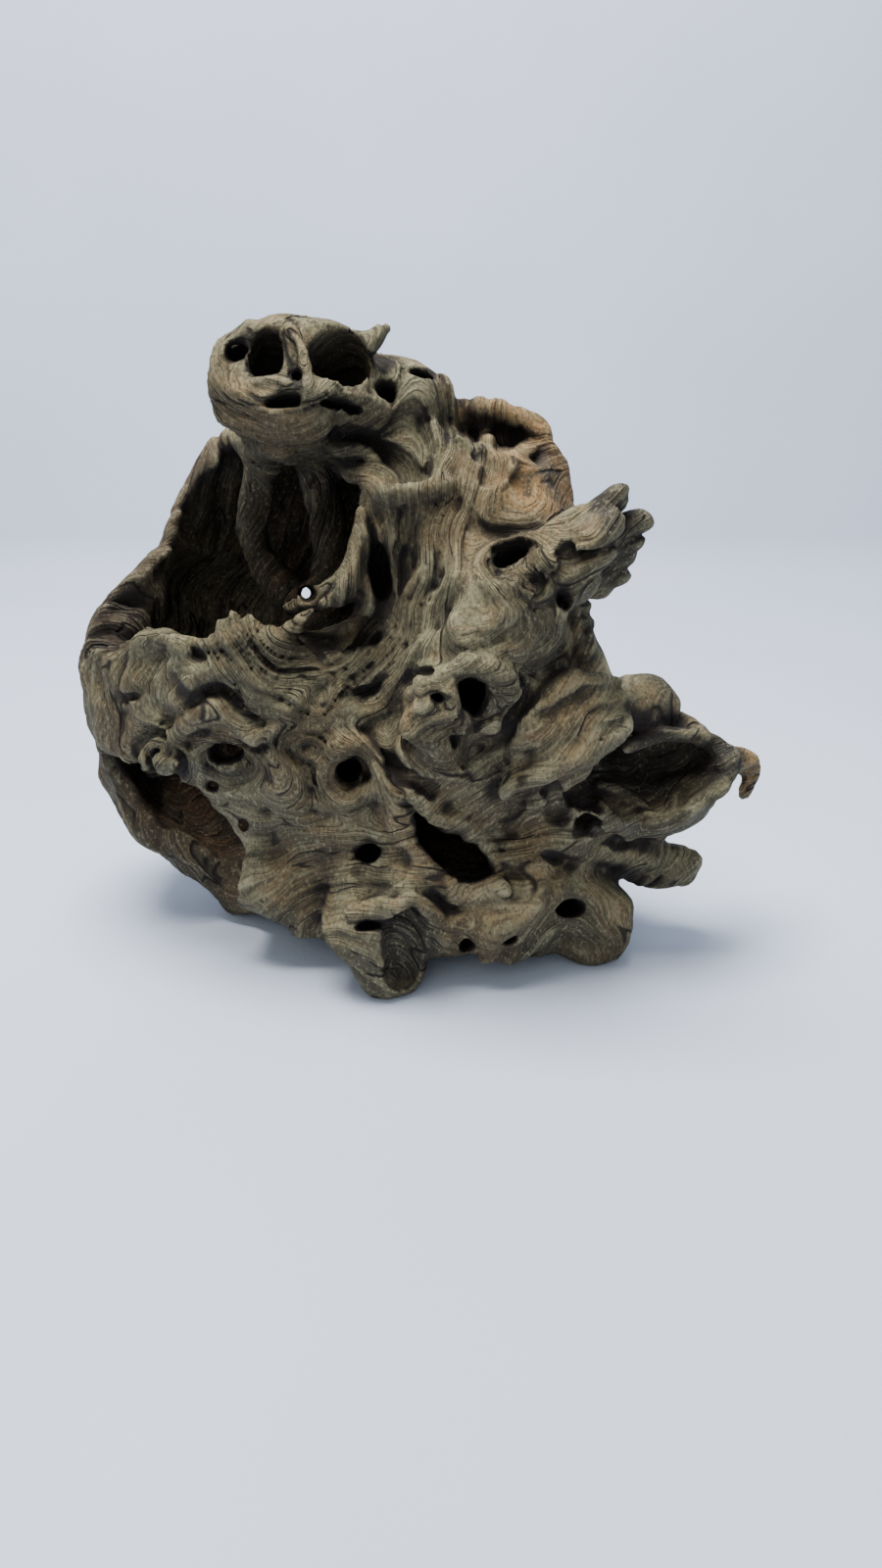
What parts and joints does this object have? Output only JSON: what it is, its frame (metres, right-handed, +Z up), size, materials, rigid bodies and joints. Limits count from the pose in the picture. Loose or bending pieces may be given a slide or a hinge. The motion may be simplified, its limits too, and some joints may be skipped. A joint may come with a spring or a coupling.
{
  "type": "driftwood",
  "caption": "Weathered piece of hollow root wood with open windows, knot holes and a broken branch, standing on its own low points.",
  "frame": {"origin": "middle of the outline box, at the level of the feet", "axes": "+Z up, -Y towards the side with the two windows and the crater, +X towards the scoop"},
  "size_m": [0.3198, 0.1709, 0.2746],
  "materials": {
    "weathered_wood": "dry, grey-brown and weathered, darker inside the hollows"
  },
  "bodies": {
    "root": {"driftwood": "weathered_wood"}
  },
  "joints": []
}
